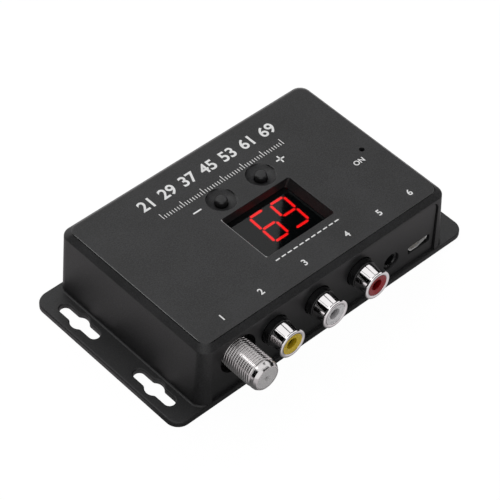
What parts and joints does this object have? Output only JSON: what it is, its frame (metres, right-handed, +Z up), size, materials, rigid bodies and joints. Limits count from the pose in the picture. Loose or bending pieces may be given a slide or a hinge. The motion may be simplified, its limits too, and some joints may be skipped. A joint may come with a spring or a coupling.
{
  "type": "rf modulator box",
  "caption": "Black box with mounting ears that turns composite video and stereo sound into an aerial signal, with a lit channel display and channel buttons.",
  "frame": {"origin": "middle of the base plate's underside", "axes": "+X along the box towards the power socket, connectors face -Y, +Z up out of the roof"},
  "size_m": [0.11, 0.0704, 0.0245],
  "materials": {
    "cover_plastic": "fine moulded texture, black",
    "base_plastic": "fine moulded texture, black",
    "panel_plastic": "satin black",
    "smoked_lens": "polished dark smoke tint",
    "display_black": "matt black face",
    "lit_segment": "glowing red",
    "tinned_metal": "bright tin plate",
    "moulding_black": "black moulding",
    "board_green": "green solder mask",
    "screw_steel": "zinc plate",
    "black_screw": "black oxide",
    "nickel_barrel": "bright nickel, turned",
    "insulator_grey": "grey moulding",
    "gold_contact": "thin gold plate",
    "socket_steel": "pressed steel",
    "lamp_red": "diffused red lens",
    "can_steel": "tin plate",
    "chip_black": "moulded black",
    "capacitor_sleeve": "shrunk dark blue sleeve",
    "ferrite_grey": "bare ferrite",
    "jack_black": "glossy black",
    "chrome_sleeve": "bright plate",
    "insert_yellow": "coloured moulding",
    "insert_white": "coloured moulding",
    "insert_red": "coloured moulding",
    "button_grey": "satin dark grey"
  },
  "bodies": {
    "housing": {"top_cover": "cover_plastic", "base_plate": "base_plastic", "front_panel": "panel_plastic", "display_lens": "smoked_lens", "display_housing": "display_black", "display_segments": "lit_segment", "display_pins": "tinned_metal", "display_sockets": "moulding_black", "main_board": "board_green", "board_screws": "screw_steel", "case_screws": "black_screw", "f_connector_mount": "moulding_black", "f_connector_shell": "nickel_barrel", "f_connector_insulator": "insulator_grey", "f_connector_contact": "gold_contact", "rca_video_housing": "jack_black", "rca_video_shell": "chrome_sleeve", "rca_video_insert": "insert_yellow", "rca_video_contact": "tinned_metal", "rca_left_housing": "jack_black", "rca_left_shell": "chrome_sleeve", "rca_left_insert": "insert_white", "rca_left_contact": "tinned_metal", "rca_right_housing": "jack_black", "rca_right_shell": "chrome_sleeve", "rca_right_insert": "insert_red", "rca_right_contact": "tinned_metal", "ir_jack_body": "moulding_black", "ir_jack_contacts": "tinned_metal", "usb_shell": "socket_steel", "usb_tongue": "moulding_black", "usb_contacts": "gold_contact", "switch_down_base": "moulding_black", "switch_down_cover": "can_steel", "switch_down_dome": "can_steel", "switch_up_base": "moulding_black", "switch_up_cover": "can_steel", "switch_up_dome": "can_steel", "power_led": "lamp_red", "power_led_leads": "tinned_metal", "power_led_sleeve": "moulding_black", "modulator_shield": "can_steel", "modulator_shield_lid": "can_steel", "modulator_chip": "chip_black", "controller_chip": "chip_black", "display_driver_chip": "chip_black", "crystal": "can_steel", "filter_capacitors": "capacitor_sleeve", "regulator": "chip_black", "power_inductor": "ferrite_grey", "chip_resistors": "chip_black"},
    "button_down": {"button_down": "button_grey"},
    "button_up": {"button_up": "button_grey"}
  },
  "joints": [
    {"name": "button_down_press", "type": "slide", "parent": "housing", "child": "button_down", "axis": [0, 0, -1], "range_m": [0, 0.00025], "stiffness_N_per_m": 600, "springref_m": -0.0005, "deforming": ["switch_down_dome"]},
    {"name": "button_up_press", "type": "slide", "parent": "housing", "child": "button_up", "axis": [0, 0, -1], "range_m": [0, 0.00025], "stiffness_N_per_m": 600, "springref_m": -0.0005, "deforming": ["switch_up_dome"]}
  ]
}
